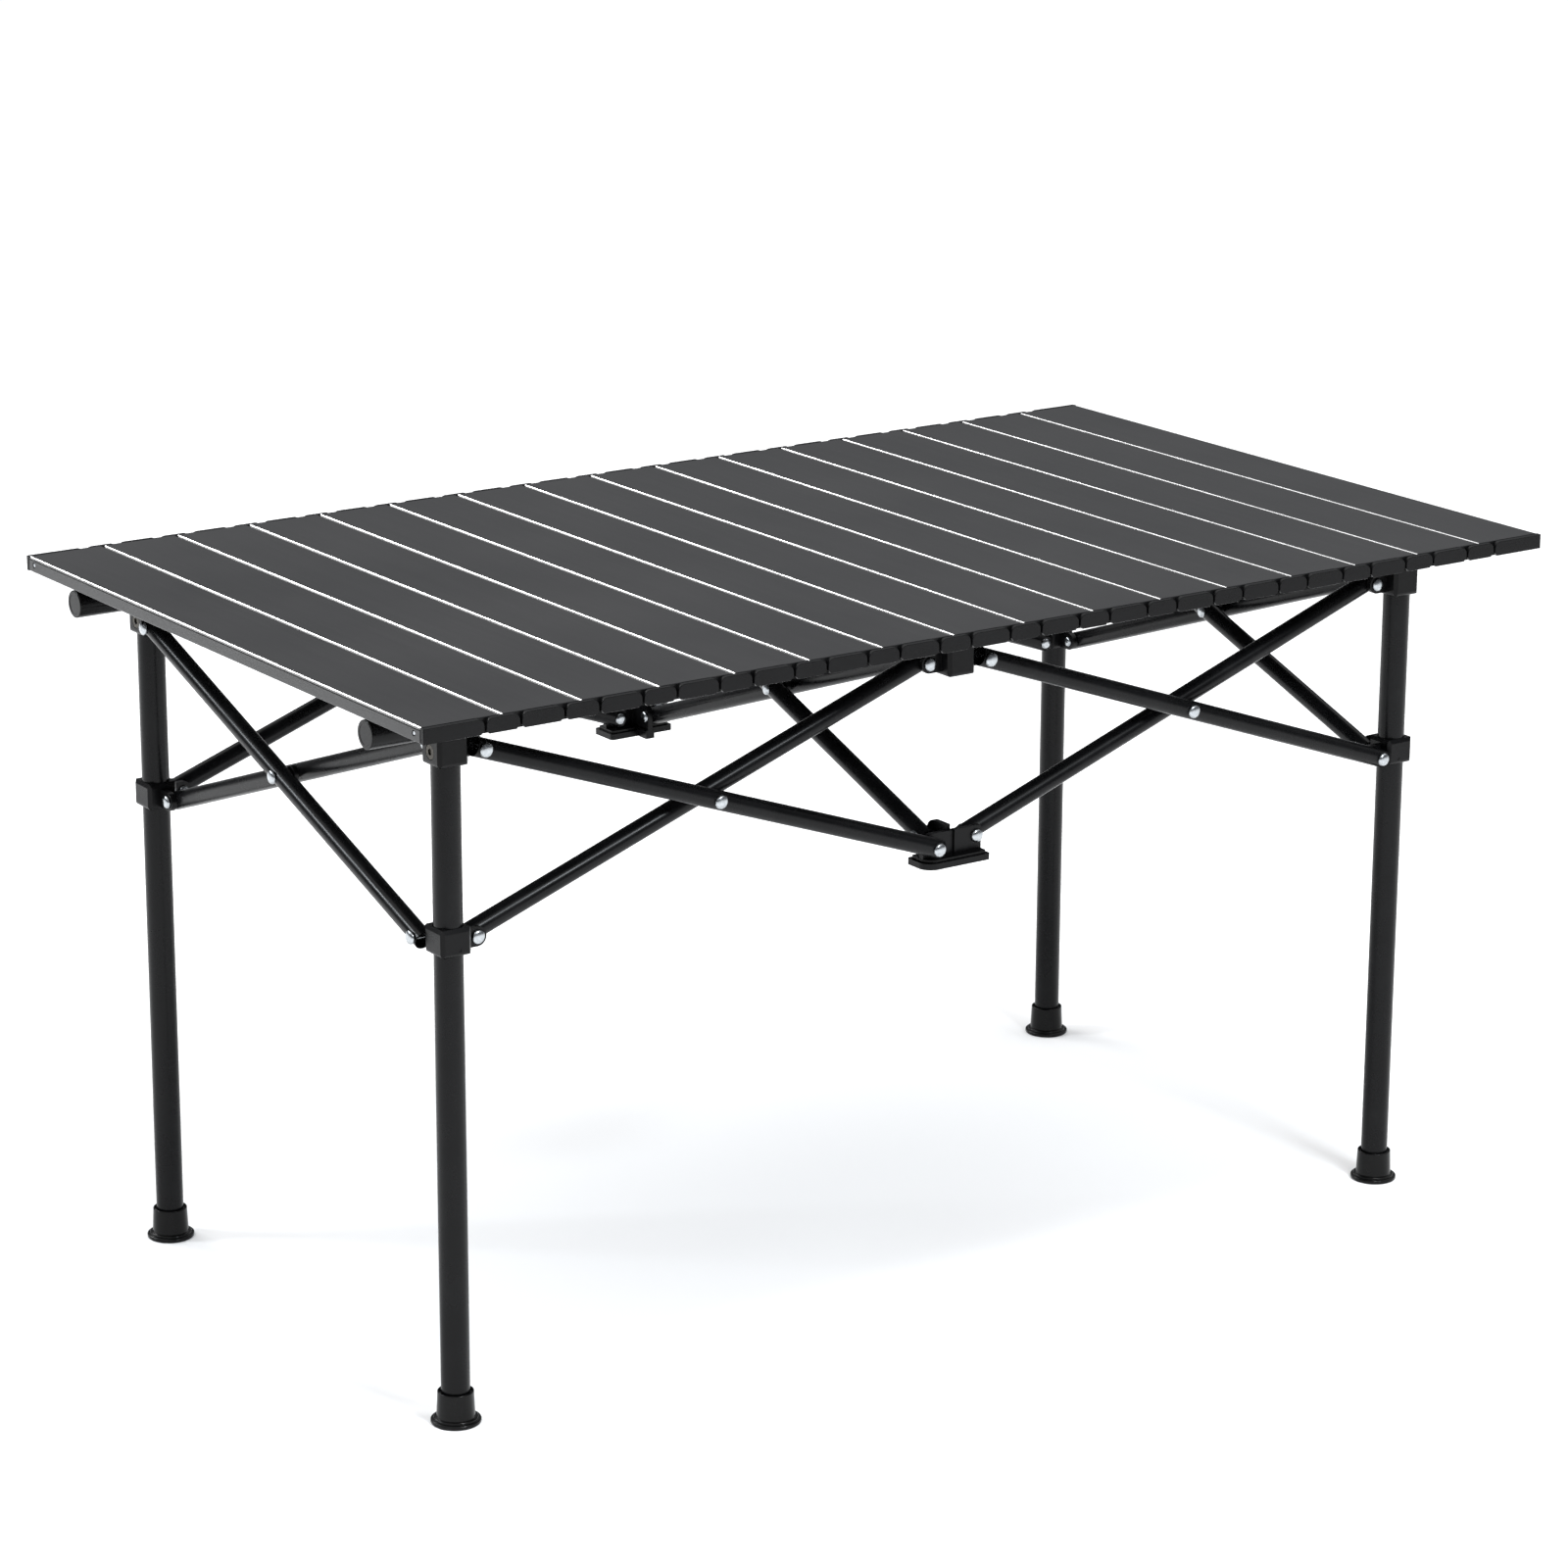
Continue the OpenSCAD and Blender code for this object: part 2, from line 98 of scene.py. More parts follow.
BAR_RADIUS = 8.4 * MM
BAR_END = 7 * MM                # bar past its end pivots
TUBE_WALL = 1.2 * MM
TAB_HALF = 2.5 * MM             # half the thickness of a bar's tab and of a washer
HEAD_RADIUS = 6 * MM
HEAD_HEIGHT = 3.4 * MM
TAIL_RADIUS = 5 * MM
TAIL_HEIGHT = 2.4 * MM
SHANK_RADIUS = 3 * MM
WASHER_RADIUS = 7 * MM
PLUG_FACE = 3 * MM              # plug outside its rail
PLUG_DEPTH = 10 * MM            # plug inside its rail
MOULD_EDGE = 0.4 * MM           # rounding of moulded joints
METAL_EDGE = 0.15 * MM          # rounding of screws and edge rivets
FLOOR_HALF = 60                 # half the width of the studio floor

CORNERS = ("front_left", "front_right", "back_left", "back_right")
COLUMNS = ("front", "back")
BAYS = CORNERS + ("left_side", "right_side", "middle")
SLATS = sorted(name for name in frame["bodies"] if name.startswith("slat_"))
PITCH = (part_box(SLATS[-1])[1].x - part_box(SLATS[0])[0].x + SEAM_GAP) / len(SLATS)
SLAT_HALF = (PITCH - SEAM_GAP) / 2


# ---------- materials ----------

class Nodes:
    """A material's node tree with short calls for the nodes used here."""

    def __init__(self, name):
        self.material = bpy.data.materials.new(name)
        self.material.use_nodes = True
        self.tree = self.material.node_tree
        self.shader = self.tree.nodes["Principled BSDF"]
        self.place = self.add("ShaderNodeTexCoord").outputs["Object"]

    def add(self, kind, **settings):
        node = self.tree.nodes.new(kind)
        for key, value in settings.items():
            setattr(node, key, value)
        return node

    def link(self, output, socket):
        self.tree.links.new(output, socket)

    def noise(self, scale, detail=3.0, stretch=(1, 1, 1), roughness=0.5):
        mapping = self.add("ShaderNodeMapping")
        mapping.inputs["Scale"].default_value = stretch
        self.link(self.place, mapping.inputs["Vector"])
        noise = self.add("ShaderNodeTexNoise")
        noise.inputs["Scale"].default_value = scale
        noise.inputs["Detail"].default_value = detail
        noise.inputs["Roughness"].default_value = roughness
        self.link(mapping.outputs["Vector"], noise.inputs["Vector"])
        return noise.outputs["Fac"]

    def ramp(self, value, stops):
        ramp = self.add("ShaderNodeValToRGB")
        elements = ramp.color_ramp.elements
        while len(elements) < len(stops):
            elements.new(0.5)
        for element, (position, color) in zip(elements, stops):
            element.position = position
            element.color = (*color, 1)
        self.link(value, ramp.inputs["Fac"])
        return ramp.outputs["Color"]

    def span(self, value, low, high):
        """Maps the middle of a noise to low..high."""
        mapped = self.add("ShaderNodeMapRange")
        mapped.inputs["From Min"].default_value = 0.3
        mapped.inputs["From Max"].default_value = 0.7
        mapped.inputs["To Min"].default_value = low
        mapped.inputs["To Max"].default_value = high
        self.link(value, mapped.inputs["Value"])
        return mapped.outputs["Result"]

    def mix(self, factor, first, second):
        mixed = self.add("ShaderNodeMix", data_type="RGBA")
        self.link(factor, mixed.inputs["Factor"])
        self.link(first, mixed.inputs["A"])
        self.link(second, mixed.inputs["B"])
        return mixed.outputs["Result"]

    def bump(self, height, strength, distance, below=None):
        bump = self.add("ShaderNodeBump")
        bump.inputs["Strength"].default_value = strength
        bump.inputs["Distance"].default_value = distance
        self.link(height, bump.inputs["Height"])
        if below is not None:
            self.link(below, bump.inputs["Normal"])
        return bump.outputs["Normal"]

    def set(self, **values):
        for key, value in values.items():
            socket = self.shader.inputs[key.replace("_", " ")]
            if isinstance(value, bpy.types.NodeSocket):
                self.link(value, socket)
            else:
                socket.default_value = value


def grey(value, tint=(1, 1, 1)):
    """Colour of one brightness, with a tint."""
    return tuple(value * t for t in tint)


def slat_coat():
    """Satin dark grey coat with a fine orange peel and faint extrusion lines along the slat."""
    n = Nodes("slat_coat")
    clouds = n.noise(5, 4)
    lines = n.noise(1, 3, (900, 6, 900))
    tone = n.ramp(clouds, [(0.3, grey(0.014, (1, 1, 1.03))), (0.7, grey(0.019, (1, 1, 1.03)))])
    streak = n.ramp(lines, [(0.35, grey(0.012)), (0.65, grey(0.021))])
    n.set(Base_Color=n.mix(n.span(n.noise(40, 2), 0.2, 0.5), tone, streak))
    n.set(Roughness=n.span(clouds, 0.30, 0.38), Metallic=0.0, IOR=1.42)
    peel = n.bump(n.noise(2600, 2), 0.22, 0.00005)
    n.set(Normal=n.bump(lines, 0.05, 0.00005, peel))
    return n.material


def slat_edge():
    """Bright metal on the top strip of the slats' chamfered upper edges: a painted highlight along each
    edge.
    """
    n = Nodes("slat_edge")
    lines = n.noise(1, 4, (2500, 8, 2500))
    # near-white metal colour that paints the edge highlight
    n.set(Base_Color=n.ramp(lines, [(0.3, grey(0.78)), (0.7, grey(0.92))]))
    n.set(Roughness=n.span(n.noise(60), 0.22, 0.38), Metallic=1.0)
    n.set(Normal=n.bump(lines, 0.08, 0.00003))
    return n.material


def tube_coat():
    """Satin black powder coat with a cool cast, fine peel and small rubbed patches."""
    n = Nodes("tube_coat")
    rub = n.noise(22, 5, roughness=0.65)
    tone = n.ramp(rub, [(0.35, grey(0.003, (0.98, 1, 1.10))), (0.62, grey(0.005, (0.98, 1, 1.10))),
                        (0.80, grey(0.010, (1, 1, 1.05)))])
    n.set(Base_Color=tone, Roughness=n.span(rub, 0.22, 0.32), Metallic=0.0)
    n.set(Specular_IOR_Level=0.145, IOR=1.5)
    n.set(Normal=n.bump(n.noise(2200, 2), 0.18, 0.00005))
    return n.material


def joint_plastic():
    """Matte black glass-filled nylon with a moulded grain and faint flow marks."""
    n = Nodes("joint_plastic")
    flow = n.noise(30, 4, (1, 1, 2.5))
    grain = n.noise(3200, 3, roughness=0.6)
    n.set(Base_Color=n.ramp(flow, [(0.3, grey(0.003, (1, 1, 1.08))), (0.7, grey(0.005, (1, 1, 1.08)))]))
    n.set(Roughness=n.span(flow, 0.24, 0.36), Metallic=0.0, Specular_IOR_Level=0.13, IOR=1.5)
    n.set(Normal=n.bump(grain, 0.28, 0.00008))
    return n.material


def foot_plastic():
    """Smoother, glossier black plastic with light scuffs near the ground."""
    n = Nodes("foot_plastic")
    scuff = n.noise(160, 5, (1, 1, 0.4), 0.7)
    n.set(Base_Color=n.ramp(scuff, [(0.45, grey(0.003)), (0.70, grey(0.005)), (0.85, grey(0.012))]))
    n.set(Roughness=n.span(scuff, 0.12, 0.24), Metallic=0.0, Specular_IOR_Level=0.15, IOR=1.5)
    n.set(Normal=n.bump(n.noise(1500, 3), 0.12, 0.00006))
    return n.material


def zinc():
    """Bright zinc of the rivets, lightly hammered and dulled in patches."""
    n = Nodes("zinc")
    patch = n.noise(420, 4, roughness=0.6)
    cool = (0.95, 1, 1.04)
    n.set(Base_Color=n.ramp(patch, [(0.3, grey(0.36, cool)), (0.7, grey(0.52, cool))]))
    n.set(Roughness=n.span(patch, 0.16, 0.30), Metallic=1.0)
    n.set(Normal=n.bump(n.noise(900, 3), 0.25, 0.00012))
    return n.material


def dark_steel():
    """Socket screws: dark plated steel with a warm worn sheen."""
    n = Nodes("dark_steel")
    wear = n.noise(500, 4, roughness=0.6)
    n.set(Base_Color=n.ramp(wear, [(0.35, grey(0.02, (1, 0.92, 0.80))), (0.7, grey(0.09, (1, 0.90, 0.74)))]))
    n.set(Roughness=n.span(wear, 0.28, 0.46), Metallic=1.0)
    n.set(Normal=n.bump(n.noise(1800, 2), 0.15, 0.00005))
    return n.material


def floor_paint():
    """Matte white paint of the studio floor."""
    n = Nodes("floor_paint")
    cloud = n.noise(0.8, 2)
    n.set(Base_Color=n.ramp(cloud, [(0.3, grey(0.94)), (0.7, grey(0.95))]))
    n.set(Roughness=n.span(cloud, 0.85, 0.9), Specular_IOR_Level=0.1)
    return n.material


FINISH = {
    "slat_metal": slat_coat(),
    "black_tube": tube_coat(),
    "joint_plastic": joint_plastic(),
    "foot_plastic": foot_plastic(),
    "bright_metal": zinc(),
    "screw_metal": dark_steel(),
}
# material of the painted highlight on the slat edges
EDGE_PAINTED_HIGHLIGHT = slat_edge()


# ---------- mesh tools ----------

def crisp(bm):
    """Smooth faces with sharp edges where the shape turns."""
    for face in bm.faces:
        face.smooth = True
    for edge in bm.edges:
        edge.smooth = len(edge.link_faces) == 2 and edge.calc_face_angle(0) < SHARP


def weigh_normals(obj):
    """Lets broad faces look flat beside their rounded edges."""
    weighted = obj.modifiers.new("normals", "WEIGHTED_NORMAL")
    weighted.keep_sharp = True


def piece(name, bm, slot, body, node):
    """Makes an object of a mesh, which rides on a body and stands for all or part of a CAD node."""
    bmesh.ops.recalc_face_normals(bm, faces=bm.faces)
    crisp(bm)
    mesh = bpy.data.meshes.new(name)
    bm.to_mesh(mesh)
    bm.free()
    obj = bpy.data.objects.new(name, mesh)
    bpy.context.scene.collection.objects.link(obj)
    mesh.materials.append(FINISH[slot])
    weigh_normals(obj)
    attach(obj, body)
    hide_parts(node)
    return obj


def axis_frame(origin, axis):
    """Matrix that lays +Z along an axis and puts the origin at a point."""
    return Matrix.Translation(origin) @ axis.to_track_quat("Z", "Y").to_matrix().to_4x4()


def lathe(bm, profile, place, segments=48, closed=False):
    """Turns (radius, height) points about +Z and moves the shape to its place."""
    rings = []
    for radius, height in profile:
        if radius == 0:
            rings.append([bm.verts.new(place @ Vector((0, 0, height)))])
            continue
        ring = []
        for k in range(segments):
            angle = 2 * math.pi * k / segments
            point = Vector((radius * math.cos(angle), radius * math.sin(angle), height))
            ring.append(bm.verts.new(place @ point))
        rings.append(ring)
    pairs = list(zip(rings, rings[1:]))
    if closed:
        pairs.append((rings[-1], rings[0]))
    for a, b in pairs:
        for k in range(segments):
            following = (k + 1) % segments
            if len(a) == 1:
                bm.faces.new((a[0], b[following], b[k]))
            elif len(b) == 1:
                bm.faces.new((a[k], a[following], b[0]))
            else:
                bm.faces.new((a[k], a[following], b[following], b[k]))


def arc(cx, cz, radius, start, end, steps=8):
    """Points on an arc, with angles in degrees."""
    points = []
    for k in range(steps + 1):
        angle = math.radians(start + (end - start) * k / steps)
        points.append((cx + radius * math.cos(angle), cz + radius * math.sin(angle)))
    return points


def prism(bm, outline, y0, y1, bevel=0.0, move=(0, 0)):
    """Extrudes an outline of (x, z) points from y0 to y1 and rounds its end edges."""
    dx, dz = move
    near = bm.faces.new([bm.verts.new((x + dx, y0, z + dz)) for x, z in outline])
    grown = bmesh.ops.extrude_face_region(bm, geom=[near])["geom"]
    far_verts = [g for g in grown if isinstance(g, bmesh.types.BMVert)]
    bmesh.ops.translate(bm, verts=far_verts, vec=(0, y1 - y0, 0))
    if bevel > 0:
        far = [g for g in grown if isinstance(g, bmesh.types.BMFace)][0]
        edges = list(near.edges) + list(far.edges)
        bmesh.ops.bevel(bm, geom=edges, offset=bevel, segments=2, profile=0.5, affect="EDGES")


# ---------- top ----------

def panel_outline(height):
    """Section of a slat: cut upper edges, a fine groove under each and rounded lower edges."""
    low_round = 1.2 * MM
    top = height - CHAMFER
    right = arc(SLAT_HALF - low_round, low_round, low_round, -90, 0, 4)
    right += [(SLAT_HALF, top - 2 * LIP), (SLAT_HALF - LIP, top - 1.7 * LIP)]
    right += [(SLAT_HALF - LIP, top - 0.9 * LIP), (SLAT_HALF, top - 0.6 * LIP), (SLAT_HALF, top)]
    # this point splits off the top strip of the chamfer, which carries the painted highlight
    right += [(SLAT_HALF - CHAMFER + PAINTED_HIGHLIGHT_STRIP, height - PAINTED_HIGHLIGHT_STRIP), (SLAT_HALF - CHAMFER, height)]
    return right + [(-x, z) for x, z in reversed(right)]


def plate_outline(x0, x1, height, soft0=True, soft1=True):
    """Front of a cap or link: rounded above and chamfered below, with square corners at a table end."""
    points = []
    if soft0:
        points += [(x0, LOWER_CHAMFER), (x0 + LOWER_CHAMFER, 0)]
    else:
        points.append((x0, 0))
    if soft1:
        points += [(x1 - LOWER_CHAMFER, 0), (x1, LOWER_CHAMFER)]
        points += arc(x1 - CORNER, height - CORNER, CORNER, 0, 90)
    else:
        points += [(x1, 0), (x1, height)]
    if soft0:
        points += arc(x0 + CORNER, height - CORNER, CORNER, 90, 180)
    else:
        points.append((x0, height))
    return points


def flange_outline(height, last):
    """Slat-wide plate of an end cap, hollowed round the neighbour's ear on its right seam."""
    half = SLAT_HALF
    chamfer = 1 * MM
    points = [(-half, chamfer), (-half + chamfer, 0), (half - chamfer, 0), (half, chamfer)]
    if last:
        points += [(half, height - CHAMFER), (half - CHAMFER, height)]
    else:
        pivot = half + SEAM_GAP / 2
        room = EAR_RADIUS + EAR_ROOM
        reach = math.degrees(math.acos((pivot - half) / room))
        stop_short = 12         # degrees left out of the hollow where it opens upwards
        mouth = 0.62            # of the hollow's radius, from the pivot to its upper end
        points += arc(pivot, height - PIN_DEPTH, room, 180 + reach, 180 - reach + stop_short, 8)
        points.append((pivot - room * mouth, height))
    points += [(-half + CHAMFER, height), (-half, height - CHAMFER)]
    return points


def open_side(bm, x, spots, z):
    """Sinks round blind holes, at the spots along Y, into the flat side wall that stands at x."""
    flush = 0.03 * MM           # a vertex this close to x lies in the wall
    walls = [f for f in bm.faces if all(abs(v.co.x - x) < flush for v in f.verts)]
    wall = max(walls, key=lambda f: f.calc_area())
    border = list(wall.edges)
    bmesh.ops.delete(bm, geom=[wall], context="FACES_ONLY")
    inwards = -math.copysign(SIDE_HOLE_DEPTH, x)
    for y in spots:
        circle = arc(y, z, SIDE_HOLE_RADIUS, 0, 345, 23)
        ring = [bm.verts.new((x, *point)) for point in circle]
        bottom = [bm.verts.new((x + inwards, *point)) for point in circle]
        for k in range(len(ring)):
            strip = bm.faces.new((ring[k - 1], ring[k], bottom[k], bottom[k - 1]))
            border.append(strip.edges[0])
        bm.faces.new(bottom)
    bmesh.ops.triangle_fill(bm, edges=border, use_beauty=True, use_dissolve=True)


def slat_panel(shape):
    """The slat itself, with bright metal on the top of its chamfered upper edges as a painted highlight."""
    bm = bmesh.new()
    prism(bm, panel_outline(shape.height), -shape.end, shape.end, move=(shape.center, shape.bottom))
    hole_y = shape.back - SIDE_HOLE_INSET
    if shape.first:
        open_side(bm, shape.center - SLAT_HALF, (-hole_y, hole_y), shape.bottom + shape.height / 2)
    if shape.last:
        open_side(bm, shape.center + SLAT_HALF, (-hole_y, hole_y), shape.bottom + shape.height / 2)
    panel = piece(f"{shape.name}_panel", bm, "slat_metal", shape.name, shape.name)
    panel.data.materials.append(EDGE_PAINTED_HIGHLIGHT)
    # faces on the top strip of each upper chamfer get the bright metal of the painted highlight
    for face in panel.data.polygons:
        slanted = abs(face.normal.x) > 0.5 and face.normal.z > 0.5
        on_painted_highlight = slanted and face.center.z > shape.top - PAINTED_HIGHLIGHT_STRIP
        face.material_index = 1 if on_painted_highlight else 0


def end_cap(shape, side, word):
    """Cap on one end of a slat: a thin flange, a thick middle and an ear on the left seam."""
    place = (shape.center, shape.bottom)
    x0 = -SLAT_HALF if shape.first else -CAP_WIDTH / 2
    x1 = SLAT_HALF if shape.last else CAP_WIDTH / 2
    bm = bmesh.new()
    prism(bm, flange_outline(shape.height, shape.last),
          side * shape.end, side * (shape.end + FLANGE), move=place)
    prism(bm, plate_outline(x0, x1, shape.height, not shape.first, not shape.last),
          side * shape.end, side * (shape.end + END_DEPTH), SOFT_EDGE, place)
    if not shape.first:
        seam_ear(bm, shape.center - PITCH / 2, shape.top - PIN_DEPTH, side, shape.end)
    piece(f"{shape.name}_{word}_cap", bm, "joint_plastic", shape.name, shape.name)


def seam_ear(bm, x, z, side, end):
    """Ear of a cap on its left seam, round the neighbour's pin."""
    hole = PIN_RADIUS + FIT
    thickness = FLANGE - AIR
    wall = [(hole, 0), (EAR_RADIUS, 0), (EAR_RADIUS, thickness), (hole, thickness)]
    lathe(bm, wall, axis_frame(Vector((x, side * (end + AIR), z)), Vector((0, side, 0))), 32, closed=True)
    half = 1.5 * MM             # the arm joins the ear to its own flange
    x0 = x + 2 * MM
    x1 = x + 4 * MM
    arm = [(x0, z - half), (x1, z - half), (x1, z + half), (x0, z + half)]
    prism(bm, arm, side * (end + AIR), side * (end + FLANGE))


def link(shape, side, word):
    """Link over the right seam: a plate, the pin that carries the next slat and a neck to this one."""
    seam = shape.center + PITCH / 2
    gap = FLANGE + AIR
    bm = bmesh.new()
    prism(bm, plate_outline(-LINK_WIDTH / 2, LINK_WIDTH / 2, shape.height),
          side * (shape.end + gap), side * (shape.end + END_DEPTH), SOFT_EDGE, (seam, shape.bottom))
    bite = 0.5 * MM
    length = gap + bite - AIR
    pin = [(0, 0), (PIN_RADIUS, 0), (PIN_RADIUS, length), (0, length)]
    start = Vector((seam, side * (shape.end + AIR), shape.top - PIN_DEPTH))
    lathe(bm, pin, axis_frame(start, Vector((0, side, 0))), 24)
    x0 = seam - NECK_OFFSET - NECK_HALF
    x1 = seam - NECK_OFFSET + NECK_HALF
    z0 = shape.bottom + NECK_INSET
    z1 = shape.bottom + shape.height - NECK_INSET
    neck = [(x0, z0), (x1, z0), (x1, z1), (x0, z1)]
    prism(bm, neck, side * (shape.end + FLANGE - AIR), side * (shape.end + gap + AIR))
    piece(f"{shape.name}_{word}_link", bm, "joint_plastic", shape.name, shape.name)


def slat(name):
    """A slat, its two end caps and the two links on its right seam."""
    low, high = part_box(name)
    shape = SimpleNamespace(name=name, first=name == SLATS[0], last=name == SLATS[-1])
    shape.center = (SLATS.index(name) - (len(SLATS) - 1) / 2) * PITCH
    shape.bottom = low.z
    shape.top = high.z
    shape.height = high.z - low.z
    shape.back = high.y
    shape.end = high.y - END_DEPTH
    slat_panel(shape)
    for side, word in ((-1, "front"), (1, "back")):
        end_cap(shape, side, word)
        if not shape.last:
            link(shape, side, word)


# ---------- tubes, rivets, plugs and feet ----------

def tube(name, start, end, radius, body):
    """Open tube with softly rounded lips, for a body and the node of the same name."""
    length = (end - start).length
    lip = 0.35 * MM
    corner = 0.1 * MM
    inner = radius - TUBE_WALL
    near = [(inner + lip, 0), (radius - lip, 0), (radius - corner, corner), (radius, lip)]
    far = [(r, length - h) for r, h in reversed(near)]
    bm = bmesh.new()
    lathe(bm, near + far + [(inner, length - lip), (inner, lip)],
          axis_frame(start, (end - start).normalized()), 64, closed=True)
    piece(name, bm, "black_tube", body, body)


def dome(radius, height, steps=8):
    """Profile of a domed head from its rim to its crown."""
    rim = 0.25 * height
    rise = height - rim
    widest = 0.995 * radius
    points = [(0.97 * radius, 0), (radius, 0.35 * rim), (widest, rim)]
    for k in range(1, steps):
        angle = math.radians(90 * k / steps)
        points.append((widest * math.cos(angle) ** 0.85, rim + rise * math.sin(angle)))
    return points + [(0, height)]


def rivet(name, head, tail, out, node):
    """Rivet with a large head at one point and a small one at the other; out points past the head."""
    length = (head - tail).length
    bm = bmesh.new()
    lathe(bm, [(0, 0)] + dome(HEAD_RADIUS, HEAD_HEIGHT), axis_frame(head, out), 40)
    lathe(bm, [(0, 0)] + dome(TAIL_RADIUS, TAIL_HEIGHT), axis_frame(tail, -out), 40)
    lathe(bm, [(SHANK_RADIUS, 0), (SHANK_RADIUS, length)], axis_frame(tail, out), 24)
    piece(name, bm, "bright_metal", node, node)


def washer(node, center, out):
    """Washer between the two bars of a crossed pair."""
    edge = 0.4 * MM
    half = [(SHANK_RADIUS, TAB_HALF), (WASHER_RADIUS - edge, TAB_HALF), (WASHER_RADIUS, TAB_HALF - edge)]
    ring = [(r, -h) for r, h in half] + list(reversed(half))
    bm = bmesh.new()
    lathe(bm, ring, axis_frame(center, out), 40, closed=True)
    piece(f"{node}_washer", bm, "joint_plastic", node, node)


def bar_line(node):
    """Crossing point of a bar, its reach from there to an end pivot and its sideways offset.

    The points come from the joints, and the offset from the rings at the ends of the CAD bar.
    """
    bay = node.rsplit("_", 2)[0]
    joints = [j for j in frame["joints"] if j["child"].startswith(bay) or j["parent"].startswith(bay)]
    crossing = [j for j in joints if j["name"] == f"{bay}_crossing"][0]
    hinges = [j for j in joints if j["type"] == "hinge" and j is not crossing]
    pivot = [j for j in hinges if "bar" in j["parent"] + j["child"]][0]
    center = Vector(crossing["pos_m"])
    reach = Vector(pivot["pos_m"]) - center
    if node not in (pivot["parent"], pivot["child"]):
        reach.z = -reach.z
    along = reach.normalized()
    across = Vector(crossing["axis"])
    corners = [v.co for v in frame["nodes"][node].data.vertices]
    tip = [c for c in corners if (c - center).dot(along) > reach.length + BAR_END / 2 + SHANK_RADIUS]
    offset = sum((c - center).dot(across) for c in tip) / len(tip)
    return center, reach, across * offset


def bar(node):
    """A scissor bar with its rivets and, on an outer bar, the washer of the crossing."""
    center, reach, offset = bar_line(node)
    out = offset.normalized()
    along = reach.normalized()
    extent = reach.length + BAR_END
    line = center + offset
    tube(f"{node}_tube", line - along * extent, line + along * extent, BAR_RADIUS, node)

    crest = out * (offset.length + BAR_RADIUS)
    tab = out * (TAB_HALF + AIR)
    outer = node.endswith("_outer_bar")
    for number, spot in enumerate((center - reach, center + reach), 1):
        if outer:
            rivet(f"{node}_rivet_{number}", spot + crest, spot - tab, out, node)
        else:
            rivet(f"{node}_rivet_{number}", spot - tab, spot + crest, -out, node)
    if outer:
        rivet(f"{node}_rivet_3", center + crest, center - crest, out, node)
        washer(node, center, out)


def leg(corner):
    """The tube of a leg."""
    node = f"{corner}_leg"
    low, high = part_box(node)
    x = (low.x + high.x) / 2
    y = (low.y + high.y) / 2
    tube(f"{node}_tube", Vector((x, y, low.z)), Vector((x, y, high.z)), (high.x - low.x) / 2, node)


def foot(corner):
    """Flanged foot: a hollow-topped collar over a stepped, rounded flange."""
    node = f"{corner}_foot"
    low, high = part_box(node)
    leg_low, leg_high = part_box(f"{corner}_leg")
    leg_radius = (leg_high.x - leg_low.x) / 2
    flange = (high.x - low.x) / 2
    height = high.z - low.z
    inner = leg_radius + FIT
    rim = leg_radius + 3.05 * MM
    base = leg_radius + 4 * MM
    step = flange - 3.2 * MM
    seat = 5 * MM
    profile = [(0, 0), (flange - 1.2 * MM, 0)]
    profile += arc(flange - 1.2 * MM, 1.2 * MM, 1.2 * MM, -70, 0, 3)
    profile += arc(flange - 1.1 * MM, 2.5 * MM, 1.1 * MM, 0, 90, 5)
    profile += [(step + 0.9 * MM, 3.7 * MM)]
    profile += arc(step - 0.2 * MM, 4.5 * MM, 0.9 * MM, -20, 80, 4)
    profile += [(base + 0.3 * MM, 5.7 * MM), (base, 6.6 * MM), (rim + 0.1 * MM, height - 1.4 * MM)]
    profile += arc(rim - 0.7 * MM, height - 0.7 * MM, 0.7 * MM, 0, 150, 6)
    profile += [(inner + 1.1 * MM, height - 1.6 * MM), (inner + 0.8 * MM, height - 2.4 * MM)]
    profile += [(inner, height - 2.6 * MM), (inner, seat), (0, seat)]
    bm = bmesh.new()
    x = (low.x + high.x) / 2
    y = (low.y + high.y) / 2
    lathe(bm, profile, Matrix.Translation((x, y, low.z)), 72)
    piece(f"{node}_collar", bm, "foot_plastic", f"{corner}_leg", node)


def rail(column):
    """A rail and the plugs in its two ends."""
    node = f"{column}_rail"
    low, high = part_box(node)
    y = (low.y + high.y) / 2
    z = (low.z + high.z) / 2
    radius = (high.z - low.z) / 2
    tube(f"{node}_tube", Vector((low.x, y, z)), Vector((high.x, y, z)), radius, node)
    for side, word, x in ((-1, "left", low.x), (1, "right", high.x)):
        place = axis_frame(Vector((x, y, z)), Vector((side, 0, 0)))
        rail_plug(node, word, radius, place)


def rail_plug(node, word, radius, place):
    """Plug with a rounded and slightly dished face."""
    edge = 1 * MM
    dish = 0.35 * MM
    inner = radius - TUBE_WALL - FIT
    profile = [(0, -PLUG_DEPTH), (radius - 1.4 * MM, -PLUG_DEPTH), (inner, -PLUG_DEPTH + edge), (inner, 0)]
    profile += [(radius - 0.1 * MM, 0), (radius, 0.2 * MM)]
    profile += arc(radius - edge, PLUG_FACE - edge, edge, 0, 90, 5)
    profile += [(radius - 3.2 * MM, PLUG_FACE), (radius - 3.6 * MM, PLUG_FACE - dish), (0, PLUG_FACE - dish)]
    bm = bmesh.new()
    lathe(bm, profile, place, 56)
    piece(f"{node}_{word}_plug", bm, "foot_plastic", node, f"{node}_plugs")


# ---------- moulded joints kept from the frame ----------

